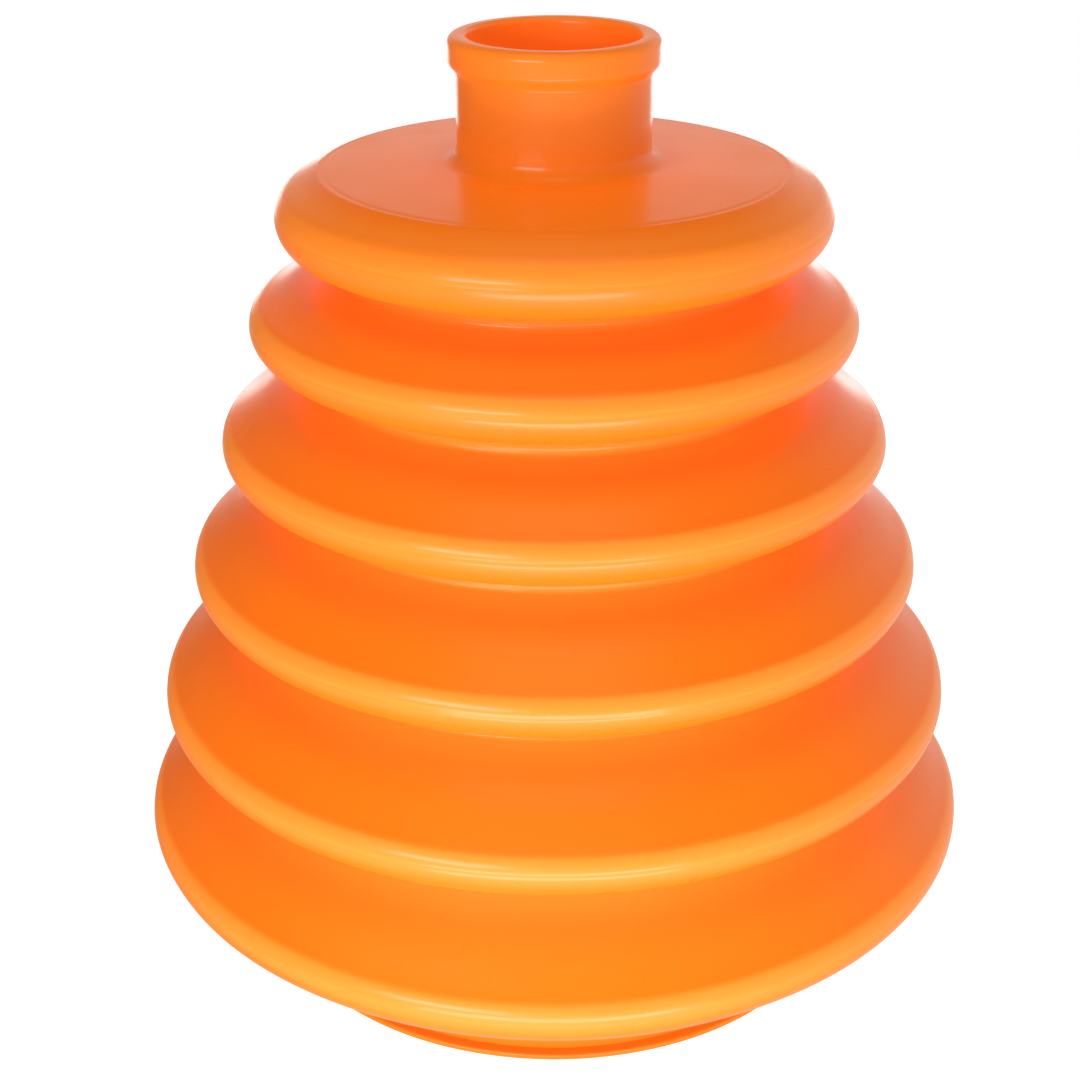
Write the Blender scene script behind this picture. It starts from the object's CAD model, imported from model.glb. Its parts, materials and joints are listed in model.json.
"""A conical bellows bulb of orange rubber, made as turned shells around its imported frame."""

import json
import math

import bmesh
import bpy
import numpy as np
from bpy.props import FloatProperty, FloatVectorProperty, IntProperty, PointerProperty
from bpy.types import Operator, Panel, PropertyGroup
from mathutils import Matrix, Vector


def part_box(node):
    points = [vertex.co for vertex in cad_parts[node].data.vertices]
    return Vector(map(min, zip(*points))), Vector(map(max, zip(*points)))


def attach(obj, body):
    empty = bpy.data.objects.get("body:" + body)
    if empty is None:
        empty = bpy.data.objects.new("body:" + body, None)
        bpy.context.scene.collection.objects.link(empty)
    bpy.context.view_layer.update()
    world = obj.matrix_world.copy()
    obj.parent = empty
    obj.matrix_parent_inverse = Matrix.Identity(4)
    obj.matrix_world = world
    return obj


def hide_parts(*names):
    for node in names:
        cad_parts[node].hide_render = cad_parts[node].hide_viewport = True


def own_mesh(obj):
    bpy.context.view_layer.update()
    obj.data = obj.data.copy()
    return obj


bl_info = {
    "name": "Bellows Bulb",
    "version": (1, 0, 0),
    "blender": (4, 5, 0),
    "location": "3D View > Sidebar > Bulb",
    "description": "Builds a squeezable bellows bulb, one turned shell for each zone of its wall",
    "category": "Object",
}

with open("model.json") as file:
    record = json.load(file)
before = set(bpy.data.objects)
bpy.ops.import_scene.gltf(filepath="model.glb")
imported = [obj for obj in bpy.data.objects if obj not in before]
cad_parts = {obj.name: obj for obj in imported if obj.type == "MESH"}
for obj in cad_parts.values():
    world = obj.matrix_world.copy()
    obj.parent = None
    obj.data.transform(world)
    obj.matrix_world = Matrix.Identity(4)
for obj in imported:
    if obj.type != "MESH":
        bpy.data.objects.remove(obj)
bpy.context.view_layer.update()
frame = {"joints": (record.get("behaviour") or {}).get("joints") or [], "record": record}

MM = 0.001
FOLDS = 6
LAST = FOLDS - 1

# Mesh. A point this close to a cut gives way to the cut's own point.
SAME_LEVEL = 1e-7
# The most that the first and the last step of a line measure.
HAIRLINE = 0.02 * MM
RIM_POINTS = 240

# Widths of the bell-shaped grooves.
EDGE_GROOVE_WIDTH = 0.2 * MM
MOULD_LINE_WIDTH = 0.16 * MM

# Pale bands. The angles are in degrees up from level, seen from the middle of a rim's circle:
# the band fades in between the lower two and out between the upper two.
RIM_BAND_LOW = (-30, 15)
RIM_BAND_HIGH = (58, 42)
# How far a rim's band reaches, in radii of its circle.
RIM_BAND_REACH = 1.3
TOP_RIM_SHARE = 0.75
WAIST_BAND = 4 * MM
EDGE_FADE = 1.2 * MM
PALE_FADE = 2 * MM

# Stage. The floor is square and lies a hair under the bead.
FLOOR_HALF = 0.3
FLOOR_GAP = 0.05 * MM
# How far in front of the axis the floor's front glow is centred, in radii of the widest rim,
# and the distances from there between which it fades.
GLOW_AHEAD = 2.9
GLOW_FADE = (0.04, 0.10)
LAMP_DISTANCE = 0.45
# Between these parts of a unit vector, up, to the right and away, the room's brightness changes.
CEILING_FADE = (0.25, 0.7)
LEFT_FADE = (-0.6, -0.2)
NEAR_FADE = (-0.2, 0.5)
CEILING_SHARE = 0.1


# ---- Places that the frame gives ------------------------------------------------------------


def rim_heights():
    """Height of each rim, top to bottom: the end of a wall that stays put as the wall folds."""
    ends = {
        d["node"]: d["fixed_end_z_m"]
        for joint in frame["joints"]
        for d in joint.get("deforming_nodes", [])
    }
    return [ends[f"upper_wall_{i + 1}"] for i in range(FOLDS)]


def follow_ratios():
    """How far each body moves for each unit of squeeze, with the head at 1 and the foot at 0."""
    couplings = frame["record"]["behaviour"]["couplings"]
    of_joint = {c["joint"]: c["ratio"] for c in couplings}
    ratios = {j["child"]: of_joint.get(j["name"], 1.0) for j in frame["joints"]}
    ratios["foot"] = 0.0
    return ratios


RIM_Z = rim_heights()
RIM_R = [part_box(f"crest_{i + 1}")[1].x for i in range(FOLDS)]
RATIO = follow_ratios()
# The folds close up evenly between two levels, so a body's ratio is the share of the way from
# the lower to the upper one at which it stands.
RATIO_PER_METRE = (RATIO["fold_1"] - RATIO["fold_6"]) / (RIM_Z[0] - RIM_Z[LAST])
FOLD_BOTTOM = RIM_Z[LAST] - RATIO["fold_6"] / RATIO_PER_METRE
FOLD_TOP = FOLD_BOTTOM + 1 / RATIO_PER_METRE

LIP_LOW, LIP_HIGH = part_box("mouth_lip")
NECK_LOW, NECK_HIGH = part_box("neck")
BEAD_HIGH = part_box("foot_bead")[1]
PANEL_LOW, PANEL_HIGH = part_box("base_panel")


# ---- Settings -------------------------------------------------------------------------------


class BulbShape(PropertyGroup):
    """Sizes of the wall's round stretches and of its fine detail, and how pale its parts are."""

    wall: FloatProperty(
        name="Wall", description="Thickness of the wall", default=1.0 * MM, unit="LENGTH"
    )
    fold_depth: FloatProperty(
        name="Fold depth",
        description="How far a waist lies inside the rim above it",
        default=5.2 * MM,
        unit="LENGTH",
    )
    fold_drop: FloatProperty(
        name="Fold drop",
        description="How far a waist lies below the rim above it",
        default=4.3 * MM,
        unit="LENGTH",
    )
    rim_round: FloatProperty(
        name="Rim round", description="Radius of a rim's edge", default=2.4 * MM, unit="LENGTH"
    )
    top_rim_round: FloatProperty(
        name="Top rim round",
        description="Radius of the top rim's edge",
        default=2.9 * MM,
        unit="LENGTH",
    )
    waist_round: FloatProperty(
        name="Waist round",
        description="Radius of a waist's tight curve, on the outside",
        default=0.65 * MM,
        unit="LENGTH",
    )
    shoulder_fall: FloatProperty(
        name="Shoulder fall",
        description="How far the shoulder falls from the neck to its edge",
        default=0.5 * MM,
        unit="LENGTH",
    )
    shoulder_inset: FloatProperty(
        name="Shoulder inset",
        description="Distance from the shoulder's edge in from the top rim",
        default=3.0 * MM,
        unit="LENGTH",
    )
    shoulder_round: FloatProperty(
        name="Shoulder round",
        description="Radius of the shoulder's soft edge",
        default=1.35 * MM,
        unit="LENGTH",
    )
    neck_fillet: FloatProperty(
        name="Neck fillet",
        description="Radius round the neck's root",
        default=1.5 * MM,
        unit="LENGTH",
    )
    lip_edge: FloatProperty(
        name="Lip edge",
        description="Radius of the lip's upper outer edge",
        default=0.8 * MM,
        unit="LENGTH",
    )
    mouth_edge: FloatProperty(
        name="Mouth edge",
        description="Radius of the mouth's inner edge",
        default=0.4 * MM,
        unit="LENGTH",
    )
    lip_sweep: FloatProperty(
        name="Lip sweep",
        description="Height of the sweep from the lip's underside into the neck",
        default=1.2 * MM,
        unit="LENGTH",
    )
    foot_waist_height: FloatProperty(
        name="Foot waist height",
        description="Height of the tight curve above the foot's band",
        default=6.5 * MM,
        unit="LENGTH",
    )
    foot_waist_round: FloatProperty(
        name="Foot waist round",
        description="Radius of that curve, on the outside",
        default=1.1 * MM,
        unit="LENGTH",
    )
    wall_fullness: FloatProperty(
        name="Wall fullness",
        description="How far an upper wall swells between its waist and its rim",
        default=0.25 * MM,
        unit="LENGTH",
    )
    groove_depth: FloatProperty(
        name="Mould line depth",
        description="Depth of the fine mould line round each rim",
        default=0.03 * MM,
        unit="LENGTH",
    )
    groove_rise: FloatProperty(
        name="Mould line rise",
        description="How far along the wall the mould line lies above the widest circle",
        default=0.4 * MM,
        unit="LENGTH",
    )
    edge_groove: FloatProperty(
        name="Edge groove",
        description="Depth of the fine groove round the shoulder's edge",
        default=0.07 * MM,
        unit="LENGTH",
    )
    ripple: FloatProperty(
        name="Ripple",
        description="Height of the slow waves that moulding leaves in the widest wall",
        default=0.07 * MM,
        unit="LENGTH",
    )
    rim_paleness: FloatProperty(
        name="Rim paleness",
        description="How pale the rubber is round the rims",
        default=1.0,
        min=0,
        max=1,
    )
    waist_paleness: FloatProperty(
        name="Waist paleness",
        description="How pale the rubber is in the waists",
        default=0.55,
        min=0,
        max=1,
    )
    upper_paleness: FloatProperty(
        name="Upper paleness",
        description="How pale the rubber is in the neck and on the flank over the top rim",
        default=0.45,
        min=0,
        max=1,
    )
    around: IntProperty(
        name="Steps around", description="Steps in one turn of a shell", default=288, min=24
    )


class BulbFinish(PropertyGroup):
    """Colour and gloss of the rubber."""

    colour: FloatVectorProperty(
        name="Colour",
        description="Colour of clean rubber",
        subtype="COLOR",
        size=3,
        min=0,
        max=1,
        default=(0.85, 0.165, 0.004),
    )
    deep_colour: FloatVectorProperty(
        name="Deep colour",
        description="Colour where the pigment is denser",
        subtype="COLOR",
        size=3,
        min=0,
        max=1,
        default=(0.80, 0.145, 0.004),
    )
    pale_colour: FloatVectorProperty(
        name="Pale colour",
        description="Colour where the rubber is palest",
        subtype="COLOR",
        size=3,
        min=0,
        max=1,
        default=(0.95, 0.27, 0.03),
    )
    roughness: FloatProperty(
        name="Roughness", description="How dull the shine is", default=0.3, min=0, max=1
    )
    glow_colour: FloatVectorProperty(
        name="Glow colour",
        description="Colour of the inner light",
        subtype="COLOR",
        size=3,
        min=0,
        max=1,
        default=(1.0, 0.18, 0.015),
    )
    inner_light: FloatProperty(
        name="Inner light",
        description="Glow that stands in for light through the thin wall",
        default=0.27,
        min=0,
        max=1,
    )


class BulbStage(PropertyGroup):
    """Camera and light."""

    camera_distance: FloatProperty(
        name="Camera distance",
        description="How far the camera stands in front of the bulb's axis",
        default=160.8 * MM,
        unit="LENGTH",
    )
    camera_height: FloatProperty(
        name="Camera height",
        description="Height of the camera above the floor",
        default=115.0 * MM,
        unit="LENGTH",
    )
    camera_tilt: FloatProperty(
        name="Camera tilt",
        description="How far the camera looks down",
        default=math.radians(25.56),
        subtype="ANGLE",
    )
    camera_lens: FloatProperty(
        name="Lens", description="Focal length in millimetres", default=61.9, min=10
    )
    camera_shift: FloatProperty(
        name="Shift", description="Sideways shift of the frame", default=-0.0132
    )
    strip_power: FloatProperty(
        name="Front strip",
        description="Power of the low strip in front",
        default=0.09,
        unit="POWER",
    )
    rear_power: FloatProperty(
        name="Rear strip",
        description="Power of the low strip behind",
        default=0.12,
        unit="POWER",
    )
    top_power: FloatProperty(
        name="Top light", description="Power of the light overhead", default=0.85, unit="POWER"
    )
    back_power: FloatProperty(
        name="Back light", description="Power of each light behind", default=0.15, unit="POWER"
    )
    spark_power: FloatProperty(
        name="Spark",
        description="Power of the lamp in front on the left that draws the highlights",
        default=0.27,
        unit="POWER",
    )
    room: FloatProperty(
        name="Room", description="Brightness of the room near the horizon", default=0.64, min=0
    )
    left_share: FloatProperty(
        name="Left share",
        description="Brightness of the room's left side, as a share of the rest",
        default=0.1,
        min=0,
    )
    near_share: FloatProperty(
        name="Near share",
        description="Brightness of the room's near side, as a share of the rest",
        default=0.45,
        min=0,
    )
    front_glow: FloatProperty(
        name="Front glow",
        description="Light that the floor gives a little in front of the bulb",
        default=1.6,
        min=0,
    )
    floor_glow: FloatProperty(
        name="Floor glow",
        description="Light that the rest of the floor gives by itself",
        default=0.92,
        min=0,
    )


# ---- Outlines of the wall, as points of radius and height -----------------------------------


def toward(angle):
    """Unit vector in a direction: the cosine and the sine of its angle."""
    return np.array([math.cos(angle), math.sin(angle)])


def arc(middle, radius, start, end, count=72):
    """Points round part of a circle: the middle plus the radius times each direction."""
    angles = np.linspace(start, end, count)
    return np.asarray(middle) + radius * np.stack([np.cos(angles), np.sin(angles)], axis=1)


def line(a, b, count=48):
    """Evenly spaced points from a to b."""
    share = np.linspace(0, 1, count)[:, None]
    return (1 - share) * np.asarray(a) + share * np.asarray(b)


def bearing(a, b):
    """Direction from point a to point b."""
    return math.atan2(b[1] - a[1], b[0] - a[0])


def shoulder_height():
    """Height of the shoulder where it would meet the neck without a fillet."""
    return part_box("shoulder")[1].z - bpy.context.scene.bulb_shape.neck_fillet


def rim_round(i):
    """Radius of the circle that rounds rim i."""
    shape = bpy.context.scene.bulb_shape
    return shape.top_rim_round if i == 0 else shape.rim_round


def rim_middle(i):
    """Middle of the circle that rounds rim i."""
    return np.array([RIM_R[i] - rim_round(i), RIM_Z[i]])


def waist_middle(i):
    """Middle of the circle that rounds the waist under rim i. The foot's waist is the last one."""
    shape = bpy.context.scene.bulb_shape
    if i == LAST:
        foot_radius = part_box("base_panel")[1].x + shape.wall
        return np.array([foot_radius + shape.foot_waist_round, shape.foot_waist_height])
    return np.array(
        [RIM_R[i] - shape.fold_depth + shape.waist_round, RIM_Z[i] - shape.fold_drop]
    )


def waist_round(i):
    """Radius of the circle that rounds the waist under rim i, on the outside."""
    shape = bpy.context.scene.bulb_shape
    return shape.foot_waist_round if i == LAST else shape.waist_round


def ridge_middle():
    """Middle of the circle that rounds the shoulder's edge."""
    shape = bpy.context.scene.bulb_shape
    edge_height = shoulder_height() - shape.shoulder_fall
    return np.array(
        [
            RIM_R[0] - shape.shoulder_inset - shape.shoulder_round,
            edge_height - shape.shoulder_round,
        ]
    )


def upper_normal(i):
    """Direction that the wall above rim i faces. The wall is the straight line that touches the
    rim's circle and the next one above: the angle between that line's normal and the line
    through both middles has the sum of the two radii over their distance as its cosine, or the
    difference under the shoulder's edge, which is round the same way as the rim."""
    shape = bpy.context.scene.bulb_shape
    above = ridge_middle() if i == 0 else waist_middle(i - 1)
    reach = rim_round(i) + (-shape.shoulder_round if i == 0 else shape.waist_round)
    middle = rim_middle(i)
    return bearing(middle, above) - math.acos(reach / math.dist(middle, above))


def lower_normal(i):
    """Direction that the wall below rim i faces, found as for the wall above it."""
    middle, below = rim_middle(i), waist_middle(i)
    reach = rim_round(i) + waist_round(i)
    return bearing(middle, below) + math.acos(reach / math.dist(middle, below))


def inward(points, normal):
    """The same points, one wall's thickness in from a face with that normal."""
    return points - bpy.context.scene.bulb_shape.wall * toward(normal)


def above_level(points, level):
    """The stretch of a falling line of points above a level, ending exactly on it."""
    return _falling_part(points, level, keep_upper=True)


def below_level(points, level):
    """The stretch of a falling line of points below a level, starting exactly on it."""
    return _falling_part(points, level, keep_upper=False)


def _falling_part(points, level, keep_upper):
    """The points on one side of a level and the crossing itself, whose radius is read off the
    line between the two points round it."""
    # np.interp wants the line in rising order.
    crossing = [np.interp(level, points[::-1, 1], points[::-1, 0]), level]
    if keep_upper:
        return np.vstack([points[points[:, 1] > level + SAME_LEVEL], crossing])
    return np.vstack([crossing, points[points[:, 1] < level - SAME_LEVEL]])


def even_steps(points, step):
    """The line of points again, in even steps along its length, with one more point very close
    to each end, so that a shell's shading at its edge is that of the edge itself."""
    lengths = np.concatenate([[0], np.cumsum(np.linalg.norm(np.diff(points, axis=0), axis=1))])
    total = lengths[-1]
    hairline = min(HAIRLINE, total / 20)
    inner = np.linspace(hairline, total - hairline, max(int(total / step), 2) + 1)
    at = np.concatenate([[0], inner, [total]])
    return np.stack([np.interp(at, lengths, points[:, axis]) for axis in (0, 1)], axis=1)


# ---- Shells ---------------------------------------------------------------------------------


def ripple_at(angle, height):
    """Slow waves over the wall, from -1 to 1: a sum of sines whose phase runs with the angle, a
    whole number of turns round, and with the height, some radians for each metre."""
    waves = ((3, 94, 0.4, 0.32), (5, 149, 1.9, 0.26), (8, 267, 4.2, 0.20), (13, 408, 2.6, 0.22))
    return sum(
        share * np.sin(turns * angle + per_metre * height + phase)
        for turns, per_metre, phase, share in waves
    )


def eased(value, low, high):
    """0 below the low value and 1 above the high one, with a smooth S between: 3 t squared less
    2 t cubed, where t is the share of the way up. The high value may also be the smaller."""
    share = np.clip((value - low) / (high - low), 0, 1)
    return share**2 * (3 - 2 * share)


def paleness_at(radius, height):
    """How pale the rubber is at points of the section, from 0 to 1: the most that any band gives.
    Round a rim, a band eases in and out with the direction from the middle of its circle. In a
    waist it is a bell-shaped curve of the distance from the middle of the waist's circle. Over
    the top rim and in the neck it eases with the height."""
    shape = bpy.context.scene.bulb_shape
    pale = np.zeros_like(radius)
    for i in range(FOLDS):
        rim, waist = rim_middle(i), waist_middle(i)
        direction = np.degrees(np.arctan2(height - rim[1], radius - rim[0]))
        near = np.hypot(radius - rim[0], height - rim[1]) < RIM_BAND_REACH * rim_round(i)
        band = eased(direction, *RIM_BAND_HIGH) * eased(direction, *RIM_BAND_LOW)
        most = shape.rim_paleness * (TOP_RIM_SHARE if i == 0 else 1)
        pale = np.maximum(pale, np.where(near, band * most, 0))
        away = np.hypot(radius - waist[0], height - waist[1])
        pale = np.maximum(pale, shape.waist_paleness * np.exp(-((away / WAIST_BAND) ** 2)))
    edge = shoulder_height() - shape.shoulder_fall
    flank = eased(height, edge, edge - EDGE_FADE)
    flank = flank * eased(height, RIM_Z[0] - PALE_FADE, RIM_Z[0])
    flank = np.where(radius > ridge_middle()[0], flank, 0)
    neck = eased(height, shoulder_height(), shoulder_height() + PALE_FADE)
    return np.maximum(pale, shape.upper_paleness * np.maximum(flank, neck))


def turned(name, outside, inside, outer_step=0.24 * MM, inner_step=0.6 * MM):
    """A closed shell: the section between two lines of points, both running downwards or both
    inwards, turned about Z. Point (r, z) at angle a lands on (r cos a, r sin a, z), with r moved
    a little by the ripple. Its vertices carry their place at rest and how pale they are. Lines
    that end on the axis meet in a pole each, with no wall between the poles."""
    shape = bpy.context.scene.bulb_shape
    outer, inner = even_steps(outside, outer_step), even_steps(inside, inner_step)
    section = np.vstack([outer, inner[::-1]])
    rings, around = len(section), shape.around
    angle = np.linspace(0, 2 * math.pi, around, endpoint=False)[:, None]
    radius, height = section[None, :, 0], section[None, :, 1]
    # The ripple grows with the radius, from nothing at the neck.
    growth = np.clip((radius - NECK_HIGH.x) / (max(RIM_R) - NECK_HIGH.x), 0, 1)
    radius = radius + shape.ripple * ripple_at(angle, height) * growth
    places = np.stack(
        [radius * np.cos(angle), radius * np.sin(angle), np.broadcast_to(height, radius.shape)],
        axis=2,
    ).reshape(-1, 3)

    step, ring = np.meshgrid(np.arange(around), np.arange(rings), indexing="ij")
    next_step, next_ring = (step + 1) % around, (ring + 1) % rings
    corners = [(step, ring), (step, next_ring), (next_step, next_ring), (next_step, ring)]
    on_axis = section[:, 0] == 0
    faces = np.stack([a * rings + b for a, b in corners], axis=2)
    faces = faces[:, ~(on_axis & np.roll(on_axis, -1))].reshape(-1, 4)
    ends = (0, len(outer) - 1, len(outer), rings - 1)
    piece = shell_object(name, places, faces, rings, ends)
    pale = piece.data.attributes.new("paleness", "FLOAT", "POINT")
    pale.data.foreach_set("value", np.tile(paleness_at(*section.T), around))
    if on_axis.any():
        join_poles(piece.data)
    return piece


def join_poles(mesh):
    """Joins the vertices that lie on the axis at one height into one."""
    made = bmesh.new()
    made.from_mesh(mesh)
    poles = [v for v in made.verts if math.hypot(v.co.x, v.co.y) < 1e-6 * MM]
    bmesh.ops.remove_doubles(made, verts=poles, dist=0.001 * MM)
    made.to_mesh(mesh)
    made.free()


def shell_object(name, places, faces, rings, ends):
    """Puts the shell into a mesh with smooth faces, and sharp edges round its cut ends."""
    mesh = bpy.data.meshes.new(name)
    mesh.from_pydata(places, [], faces)
    mesh.update()
    if signed_volume(places, faces) < 0:
        mesh.flip_normals()
    mesh.polygons.foreach_set("use_smooth", np.ones(len(mesh.polygons), bool))
    edges = np.zeros(len(mesh.edges) * 2, np.int32)
    mesh.edges.foreach_get("vertices", edges)
    ring_of = edges.reshape(-1, 2) % rings
    cut = (ring_of[:, 0] == ring_of[:, 1]) & np.isin(ring_of[:, 0], ends)
    mesh.attributes.new("sharp_edge", "BOOLEAN", "EDGE").data.foreach_set("value", cut)
    rest = mesh.attributes.new("rest_place", "FLOAT_VECTOR", "POINT")
    rest.data.foreach_set("vector", places.astype(np.float32).ravel())
    piece = bpy.data.objects.new(name, mesh)
    bpy.context.scene.collection.objects.link(piece)
    return piece


def signed_volume(places, faces):
    """Volume inside the faces, positive when they point outwards: a sixth of the sum, over
    each face's two triangles, of the first corner dotted with the cross of the other two."""
    a, b, c, d = (places[faces[:, k]] for k in range(4))
    triple = np.einsum("ij,ij->i", a, np.cross(b, c)) + np.einsum("ij,ij->i", a, np.cross(c, d))
    return triple.sum() / 6


def place(piece, node, body, folds):
    """Stands the piece in for its CAD node and lets it ride on that node's body. A piece that
    folds also flattens about the level at which its body's own movement keeps pace with it."""
    piece.data.materials.append(rubber())
    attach(piece, body)
    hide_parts(node)
    if folds:
        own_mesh(piece)


# ---- Rubber ---------------------------------------------------------------------------------


def rubber():
    """The one material of the bulb, made on first use."""
    made = bpy.data.materials.get("moulded_orange_rubber")
    if made:
        return made
    finish = bpy.context.scene.bulb_finish
    made = bpy.data.materials.new("moulded_orange_rubber")
    made.use_nodes = True
    nodes, links = made.node_tree.nodes, made.node_tree.links
    shader = nodes["Principled BSDF"]
    rest = nodes.new("ShaderNodeAttribute")
    rest.attribute_name = "rest_place"

    cloud = noise(nodes, links, rest, scale=55, detail=3)
    tint = nodes.new("ShaderNodeMix")
    tint.data_type = "RGBA"
    tint.inputs["A"].default_value = (*finish.colour, 1)
    tint.inputs["B"].default_value = (*finish.deep_colour, 1)
    share = mapped(nodes, links, cloud, (0.35, 0.75), (0.0, 0.35))
    links.new(share, tint.inputs["Factor"])
    pale = nodes.new("ShaderNodeAttribute")
    pale.attribute_name = "paleness"
    paled = nodes.new("ShaderNodeMix")
    paled.data_type = "RGBA"
    paled.inputs["B"].default_value = (*finish.pale_colour, 1)
    links.new(tint.outputs["Result"], paled.inputs["A"])
    links.new(pale.outputs["Fac"], paled.inputs["Factor"])
    links.new(paled.outputs["Result"], shader.inputs["Base Color"])

    sheen_cloud = noise(nodes, links, rest, scale=160, detail=4)
    shinier, duller = finish.roughness - 0.04, finish.roughness + 0.05
    dull = mapped(nodes, links, sheen_cloud, (0.3, 0.7), (shinier, duller))
    links.new(dull, shader.inputs["Roughness"])

    grain = noise(nodes, links, rest, scale=3200, detail=2)
    bump = nodes.new("ShaderNodeBump")
    bump.inputs["Strength"].default_value = 0.05
    bump.inputs["Distance"].default_value = 0.02 * MM
    links.new(grain, bump.inputs["Height"])
    links.new(bump.outputs["Normal"], shader.inputs["Normal"])
    shader.inputs["IOR"].default_value = 1.45
    shader.inputs["Specular IOR Level"].default_value = 0.26
    shader.inputs["Coat Weight"].default_value = 0.3
    shader.inputs["Coat Roughness"].default_value = 0.18
    shader.inputs["Coat IOR"].default_value = 1.45
    shader.inputs["Emission Color"].default_value = (*finish.glow_colour, 1)
    shader.inputs["Emission Strength"].default_value = finish.inner_light
    return made


def noise(nodes, links, place_node, scale, detail):
    """Noise fixed to the rubber: it reads each point's place at rest, in metres."""
    made = nodes.new("ShaderNodeTexNoise")
    made.inputs["Scale"].default_value = scale
    made.inputs["Detail"].default_value = detail
    links.new(place_node.outputs["Vector"], made.inputs["Vector"])
    return made.outputs["Fac"]


def mapped(nodes, links, value, from_range, to_range):
    """The value, carried in proportion from one range to another and kept inside it."""
    made = nodes.new("ShaderNodeMapRange")
    labels = ("From Min", "From Max", "To Min", "To Max")
    for label, number in zip(labels, (*from_range, *to_range), strict=True):
        made.inputs[label].default_value = number
    links.new(value, made.inputs["Value"])
    return made.outputs["Result"]


# ---- Pieces ---------------------------------------------------------------------------------


def swollen(points, normal, height):
    """A straight wall's points, moved out by the square of a half sine wave along the wall, so
    that both ends stay where they were and keep their direction."""
    share = np.linspace(0, 1, len(points))[:, None]
    return points + height * np.sin(math.pi * share) ** 2 * toward(normal)


def upper_wall_lines(i):
    """Outside and inside of the wall above rim i, from its upper end to its lower end."""
    shape = bpy.context.scene.bulb_shape
    normal = upper_normal(i)
    if i == 0:
        top = ridge_middle() + shape.shoulder_round * toward(normal)
    else:
        top = waist_middle(i - 1) - shape.waist_round * toward(normal)
    bottom = rim_middle(i) + rim_round(i) * toward(normal)
    fullness = 0 if i == 0 else shape.wall_fullness
    outside = swollen(line(top, bottom), normal, fullness)
    return outside, inward(outside, normal)


def lower_wall_lines(i):
    """Outside and inside of the wall below rim i, from its upper end to its lower end."""
    normal = lower_normal(i)
    top = rim_middle(i) + rim_round(i) * toward(normal)
    bottom = waist_middle(i) - waist_round(i) * toward(normal)
    outside = line(top, bottom)
    return outside, inward(outside, normal)


def shoulder_lines():
    """Outside and inside of the shoulder: the fillet round the neck, the slope and the edge."""
    shape = bpy.context.scene.bulb_shape
    root = np.array([NECK_HIGH.x + shape.neck_fillet, shoulder_height() + shape.neck_fillet])
    ridge = ridge_middle()
    slope = math.atan(shape.shoulder_fall / (ridge[0] - root[0]))
    quarter = math.pi / 2
    edge = upper_normal(0)
    lines = []
    for offset in (0, shape.wall):
        fillet = arc(root, shape.neck_fillet + offset, 2 * quarter, 3 * quarter - slope)
        rounded = arc(ridge, shape.shoulder_round - offset, quarter - slope, edge)
        lines.append(np.vstack([fillet, line(fillet[-1], rounded[0])[1:-1], rounded]))
    return lines


def foot_waist_lines():
    """Outside and inside of the tight curve above the foot's band, downwards."""
    shape = bpy.context.scene.bulb_shape
    middle, normal = waist_middle(LAST), math.pi + lower_normal(LAST)
    return (
        arc(middle, shape.foot_waist_round, normal, math.pi),
        arc(middle, shape.foot_waist_round + shape.wall, normal, math.pi),
    )


class BULB_OT_mouth_lip(Operator):
    """Make the rolled lip round the mouth"""

    bl_idname = "bulb.mouth_lip"
    bl_label = "Mouth lip"

    def execute(self, context):
        shape = context.scene.bulb_shape
        bore = NECK_HIGH.x - shape.wall
        edge_at = (LIP_HIGH.x - shape.lip_edge, LIP_HIGH.z - shape.lip_edge)
        mouth_at = (bore + shape.mouth_edge, LIP_HIGH.z - shape.mouth_edge)
        top = arc(edge_at, shape.lip_edge, math.pi / 2, 0)
        face_end = LIP_LOW.z + shape.lip_sweep
        share = np.linspace(0, 1, 40)
        out = LIP_HIGH.x - NECK_HIGH.x
        sweep = np.stack(
            [
                NECK_HIGH.x + out * (1 + np.cos(math.pi * share)) / 2,
                face_end - shape.lip_sweep * share,
            ],
            axis=1,
        )
        seam = (mouth_at[0], LIP_HIGH.z)
        outside = np.vstack([line(seam, top[0])[:-1], top, line(top[-1], sweep[0])[1:-1], sweep])
        mouth = arc(mouth_at, shape.mouth_edge, math.pi / 2, math.pi)
        inside = np.vstack([mouth, line(mouth[-1], (bore, LIP_LOW.z))[1:]])
        steps = {"outer_step": 0.12 * MM, "inner_step": 0.2 * MM}
        place(turned("mouth_lip_shell", outside, inside, **steps), "mouth_lip", "head", False)
        return {"FINISHED"}


class BULB_OT_neck(Operator):
    """Make the straight neck"""

    bl_idname = "bulb.neck"
    bl_label = "Neck"

    def execute(self, context):
        shape = context.scene.bulb_shape
        bore = NECK_HIGH.x - shape.wall
        outside = line((NECK_HIGH.x, NECK_HIGH.z), (NECK_HIGH.x, NECK_LOW.z))
        inside = line((bore, NECK_HIGH.z), (bore, NECK_LOW.z), count=200)
        steps = {"outer_step": 0.3 * MM, "inner_step": 0.15 * MM}
        place(turned("neck_shell", outside, inside, **steps), "neck", "head", False)
        return {"FINISHED"}


class BULB_OT_shoulder(Operator):
    """Make the flat shoulder, down to the level where the folds begin"""

    bl_idname = "bulb.shoulder"
    bl_label = "Shoulder"

    def execute(self, context):
        shape = context.scene.bulb_shape
        lines = [
            above_level(np.vstack([shoulder, wall[1:]]), FOLD_TOP)
            for shoulder, wall in zip(shoulder_lines(), upper_wall_lines(0), strict=True)
        ]
        # A fine bell-shaped groove runs round the top, where the slope turns into its edge.
        away = (lines[0][:, 0] - ridge_middle()[0]) / EDGE_GROOVE_WIDTH
        lines[0][:, 1] -= shape.edge_groove * np.exp(-(away**2))
        piece = turned("shoulder_shell", *lines, outer_step=0.1 * MM)
        place(piece, "shoulder", "head", False)
        return {"FINISHED"}


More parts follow.
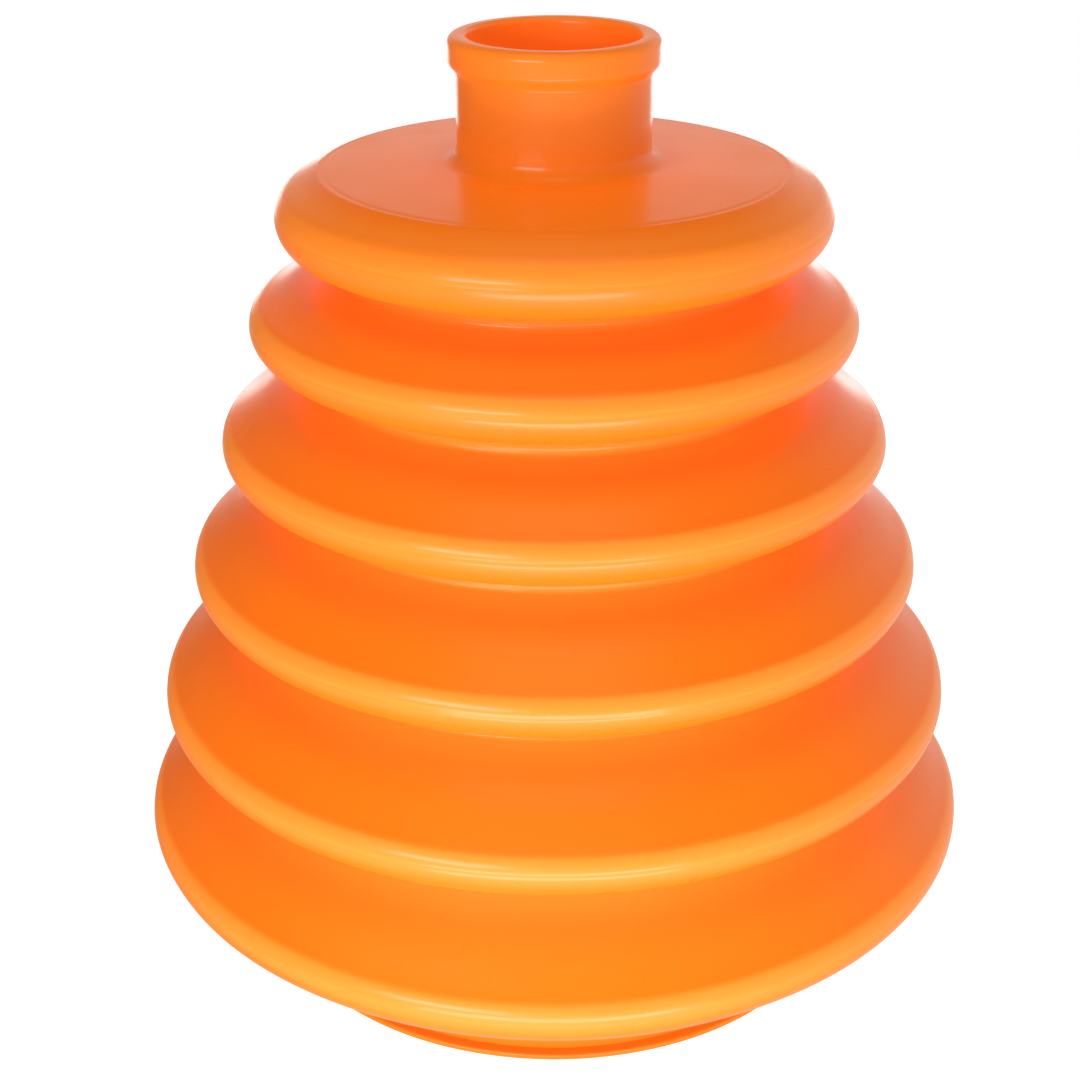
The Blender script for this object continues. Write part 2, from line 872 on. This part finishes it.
class BULB_OT_rims(Operator):
    """Make the rounded rims, each with its fine mould line"""

    bl_idname = "bulb.rims"
    bl_label = "Rims"

    def execute(self, context):
        shape = context.scene.bulb_shape
        for i in range(FOLDS):
            middle, radius = rim_middle(i), rim_round(i)
            start, end = upper_normal(i), lower_normal(i)
            outside = arc(middle, radius, start, end, RIM_POINTS)
            # The mould line is a shallow bell-shaped groove a little above the widest circle.
            angles = np.linspace(start, end, RIM_POINTS)
            along = radius * angles - shape.groove_rise
            groove = shape.groove_depth * np.exp(-((along / MOULD_LINE_WIDTH) ** 2))
            outside -= groove[:, None] * np.stack([np.cos(angles), np.sin(angles)], axis=1)
            inside = arc(middle, radius - shape.wall, start, end)
            steps = {"outer_step": 0.1 * MM, "inner_step": 0.3 * MM}
            piece = turned(f"rim_{i + 1}_shell", outside, inside, **steps)
            place(piece, f"crest_{i + 1}", f"fold_{i + 1}", True)
        return {"FINISHED"}


class BULB_OT_upper_walls(Operator):
    """Make the thin walls that run up and in from the rims"""

    bl_idname = "bulb.upper_walls"
    bl_label = "Upper walls"

    def execute(self, context):
        for i in range(FOLDS):
            lines = upper_wall_lines(i)
            if i == 0:
                lines = [below_level(points, FOLD_TOP) for points in lines]
            piece = turned(f"upper_wall_{i + 1}_shell", *lines)
            place(piece, f"upper_wall_{i + 1}", f"fold_{i + 1}", True)
        return {"FINISHED"}


class BULB_OT_lower_walls(Operator):
    """Make the thin walls that run down and in from the rims"""

    bl_idname = "bulb.lower_walls"
    bl_label = "Lower walls"

    def execute(self, context):
        for i in range(FOLDS):
            lines = lower_wall_lines(i)
            if i == LAST:
                lines = [
                    above_level(np.vstack([wall, curve[1:]]), FOLD_BOTTOM)
                    for wall, curve in zip(lines, foot_waist_lines(), strict=True)
                ]
            piece = turned(f"lower_wall_{i + 1}_shell", *lines)
            place(piece, f"lower_wall_{i + 1}", f"fold_{i + 1}", True)
        return {"FINISHED"}


class BULB_OT_waists(Operator):
    """Make the tight inner folds between the rims"""

    bl_idname = "bulb.waists"
    bl_label = "Waists"

    def execute(self, context):
        shape = context.scene.bulb_shape
        for i in range(LAST):
            start, end = math.pi + lower_normal(i), math.pi + upper_normal(i + 1)
            outside = arc(waist_middle(i), shape.waist_round, start, end)
            inside = arc(waist_middle(i), shape.waist_round + shape.wall, start, end)
            steps = {"outer_step": 0.1 * MM, "inner_step": 0.3 * MM}
            piece = turned(f"waist_{i + 1}_shell", outside, inside, **steps)
            place(piece, f"waist_{i + 1}", f"tuck_{i + 1}", True)
        return {"FINISHED"}


class BULB_OT_foot_collar(Operator):
    """Make the upright band of the foot, up to the level where the folds begin"""

    bl_idname = "bulb.foot_collar"
    bl_label = "Foot collar"

    def execute(self, context):
        shape = context.scene.bulb_shape
        band = PANEL_HIGH.x + shape.wall
        lines = []
        for wall, curve, radius in zip(
            lower_wall_lines(LAST), foot_waist_lines(), (band, PANEL_HIGH.x), strict=True
        ):
            upper = below_level(np.vstack([wall, curve[1:]]), FOLD_BOTTOM)
            lines.append(np.vstack([upper, line(upper[-1], (radius, BEAD_HIGH.z))[1:]]))
        place(turned("foot_collar_shell", *lines), "foot_collar", "foot", False)
        return {"FINISHED"}


class BULB_OT_foot_bead(Operator):
    """Make the thin bead that the bulb stands on"""

    bl_idname = "bulb.foot_bead"
    bl_label = "Foot bead"

    def execute(self, context):
        # Both outer edges are rounded, each by a third of the bead's height.
        edge = BEAD_HIGH.z / 3
        upper = arc((BEAD_HIGH.x - edge, BEAD_HIGH.z - edge), edge, math.pi / 2, 0)
        lower = arc((BEAD_HIGH.x - edge, edge), edge, 0, -math.pi / 2)
        inner_top, inner_bottom = (PANEL_HIGH.x, BEAD_HIGH.z), (PANEL_HIGH.x, 0)
        top, bottom = line(inner_top, upper[0])[:-1], line(lower[-1], inner_bottom)[1:]
        outside = np.vstack([top, upper, lower, bottom])
        inside = line(inner_top, inner_bottom)[1:-1]
        steps = {"outer_step": 0.08 * MM, "inner_step": 0.2 * MM}
        piece = turned("foot_bead_shell", outside, inside, **steps)
        place(piece, "foot_bead", "foot", False)
        return {"FINISHED"}


class BULB_OT_base_panel(Operator):
    """Make the closed base panel inside the foot"""

    bl_idname = "bulb.base_panel"
    bl_label = "Base panel"

    def execute(self, context):
        under = line((PANEL_HIGH.x, PANEL_LOW.z), (0, PANEL_LOW.z))
        upper = line((PANEL_HIGH.x, PANEL_HIGH.z), (0, PANEL_HIGH.z))
        steps = {"outer_step": 0.8 * MM, "inner_step": 0.8 * MM}
        piece = turned("base_panel_shell", upper, under, **steps)
        place(piece, "base_panel", "foot", False)
        return {"FINISHED"}


# ---- Stage ----------------------------------------------------------------------------------


def floor_material(glow, front_glow, front):
    """A matt panel that glows white by itself, most of all round one place in front of the bulb."""
    made = bpy.data.materials.new("floor_white")
    made.use_nodes = True
    nodes, links = made.node_tree.nodes, made.node_tree.links
    shader = nodes["Principled BSDF"]
    shader.inputs["Base Color"].default_value = (0.4, 0.4, 0.4, 1)
    shader.inputs["Roughness"].default_value = 1.0
    shader.inputs["Specular IOR Level"].default_value = 0.0
    shader.inputs["Emission Color"].default_value = (1, 1, 1, 1)
    coordinates = nodes.new("ShaderNodeTexCoord")
    away = nodes.new("ShaderNodeVectorMath")
    away.operation = "DISTANCE"
    away.inputs[1].default_value = front
    links.new(coordinates.outputs["Object"], away.inputs[0])
    strength = mapped(nodes, links, away.outputs["Value"], GLOW_FADE, (front_glow, glow))
    links.new(strength, shader.inputs["Emission Strength"])
    return made


def soft_light(name, power, size, at, aim, mirrored=True):
    """A soft rectangle of light at one place, turned to another and hidden from the camera. One
    that isn't mirrored lights the rubber and draws no highlight on it."""
    data = bpy.data.lights.new(name, "AREA")
    data.shape = "RECTANGLE"
    data.energy = power
    data.size, data.size_y = size
    lamp = bpy.data.objects.new(name, data)
    lamp.location = at
    lamp.rotation_euler = (Vector(aim) - Vector(at)).to_track_quat("-Z", "Y").to_euler()
    lamp.visible_camera = False
    lamp.visible_glossy = mirrored
    bpy.context.scene.collection.objects.link(lamp)


def around_axis(turn, rise, away, middle):
    """A point at a distance from the middle, turned by so many degrees from the front towards
    the right and raised by so many degrees."""
    turn, rise = math.radians(turn), math.radians(rise)
    flat = away * math.cos(rise)
    return (flat * math.sin(turn), -flat * math.cos(turn), middle[2] + away * math.sin(rise))


def room_world(brightness, left_share, near_share):
    """A room that is light near the horizon and dark overhead, and dimmer on the left and near
    sides. The camera itself sees plain white in its place."""
    made = bpy.data.worlds.new("room")
    made.use_nodes = True
    nodes, links = made.node_tree.nodes, made.node_tree.links
    direction = nodes.new("ShaderNodeTexCoord")
    parts = nodes.new("ShaderNodeSeparateXYZ")
    links.new(direction.outputs["Generated"], parts.inputs["Vector"])
    dark = CEILING_SHARE * brightness
    rise = mapped(nodes, links, parts.outputs["Z"], CEILING_FADE, (brightness, dark))
    side = mapped(nodes, links, parts.outputs["X"], LEFT_FADE, (left_share, 1.0))
    depth = mapped(nodes, links, parts.outputs["Y"], NEAR_FADE, (near_share, 1.0))
    strength = rise
    for share in (side, depth):
        product = nodes.new("ShaderNodeMath")
        product.operation = "MULTIPLY"
        links.new(strength, product.inputs[0])
        links.new(share, product.inputs[1])
        strength = product.outputs["Value"]
    room, paper = nodes["Background"], nodes.new("ShaderNodeBackground")
    for background in (room, paper):
        background.inputs["Color"].default_value = (1, 1, 1, 1)
    links.new(strength, room.inputs["Strength"])
    path, seen = nodes.new("ShaderNodeLightPath"), nodes.new("ShaderNodeMixShader")
    links.new(path.outputs["Is Camera Ray"], seen.inputs["Fac"])
    links.new(room.outputs["Background"], seen.inputs[1])
    links.new(paper.outputs["Background"], seen.inputs[2])
    links.new(seen.outputs["Shader"], nodes["World Output"].inputs["Surface"])
    return made


class BULB_OT_stage(Operator):
    """Make the floor, the lights and the camera"""

    bl_idname = "bulb.stage"
    bl_label = "Stage"

    def execute(self, context):
        stage = context.scene.bulb_stage
        scene = context.scene
        mesh = bpy.data.meshes.new("floor_panel")
        # The gap under the bead keeps any two faces from sharing a plane.
        half, level = FLOOR_HALF, -FLOOR_GAP
        outline = [(-half, -half), (half, -half), (half, half), (-half, half)]
        mesh.from_pydata([(*corner, level) for corner in outline], [], [(0, 1, 2, 3)])
        front = (0, -GLOW_AHEAD * max(RIM_R), 0)
        mesh.materials.append(floor_material(stage.floor_glow, stage.front_glow, front))
        floor = bpy.data.objects.new("floor_panel", mesh)
        scene.collection.objects.link(floor)
        # The bulb mirrors the dim room and not the bright floor, so its flanks keep their colour.
        floor.visible_glossy = False

        middle = (0, 0, LIP_HIGH.z / 2)
        low = (0, 0, 0.03)
        strip_at, strip_aim = (0, -0.13, 0.012), (0, -0.03, 0.02)
        soft_light("strip", stage.strip_power, (0.14, 0.022), strip_at, strip_aim)
        soft_light("spark", stage.spark_power, (0.15, 0.045), (-0.13, -0.26, 0.12), low)
        at = around_axis(0, 80, LAMP_DISTANCE, middle)
        soft_light("top", stage.top_power, (0.30, 0.30), at, middle, mirrored=False)
        for turn in (140, 220):
            at = around_axis(turn, 20, LAMP_DISTANCE, middle)
            power = stage.back_power
            soft_light(f"back_{turn}", power, (0.25, 0.25), at, middle, mirrored=False)
        soft_light("rear_strip", stage.rear_power, (0.3, 0.06), (0, 0.28, 0.031), low)

        scene.world = room_world(stage.room, stage.left_share, stage.near_share)

        data = bpy.data.cameras.new("view")
        data.lens = stage.camera_lens
        data.shift_x = stage.camera_shift
        data.clip_start = 1 * MM
        camera = bpy.data.objects.new("view", data)
        camera.location = (0, -stage.camera_distance, stage.camera_height)
        camera.rotation_euler = (math.pi / 2 - stage.camera_tilt, 0, 0)
        scene.collection.objects.link(camera)
        scene.camera = camera
        scene.view_settings.view_transform = "Standard"
        return {"FINISHED"}


class BULB_PT_panel(Panel):
    """Lists the pieces of the bulb in the sidebar"""

    bl_idname = "BULB_PT_panel"
    bl_label = "Bellows Bulb"
    bl_space_type = "VIEW_3D"
    bl_region_type = "UI"
    bl_category = "Bulb"

    def draw(self, context):
        for group in ("bulb_shape", "bulb_finish", "bulb_stage"):
            settings = getattr(context.scene, group)
            box = self.layout.box()
            for name in settings.bl_rna.properties.keys():
                if name not in ("rna_type", "name"):
                    box.prop(settings, name)
        for step in STEPS:
            self.layout.operator(step.bl_idname)


STEPS = (
    BULB_OT_stage,
    BULB_OT_mouth_lip,
    BULB_OT_neck,
    BULB_OT_shoulder,
    BULB_OT_upper_walls,
    BULB_OT_rims,
    BULB_OT_lower_walls,
    BULB_OT_waists,
    BULB_OT_foot_collar,
    BULB_OT_foot_bead,
    BULB_OT_base_panel,
)
SETTINGS = {"bulb_shape": BulbShape, "bulb_finish": BulbFinish, "bulb_stage": BulbStage}


def register():
    """Registers the settings and the operators, and hangs the settings on the scene."""
    for name, group in SETTINGS.items():
        bpy.utils.register_class(group)
        setattr(bpy.types.Scene, name, PointerProperty(type=group))
    for step in (*STEPS, BULB_PT_panel):
        bpy.utils.register_class(step)


def unregister():
    """Takes back what register did."""
    for step in (*STEPS, BULB_PT_panel):
        bpy.utils.unregister_class(step)
    for name, group in SETTINGS.items():
        delattr(bpy.types.Scene, name)
        bpy.utils.unregister_class(group)


def corners(bounds):
    """A box's two corners as plain lists of numbers."""
    return [list(map(float, corner)) for corner in bounds]


def main():
    """Makes every piece in order."""
    register()
    for step in STEPS:
        group, name = step.bl_idname.split(".")
        getattr(getattr(bpy.ops, group), name)()


if __name__ == "__main__":
    main()
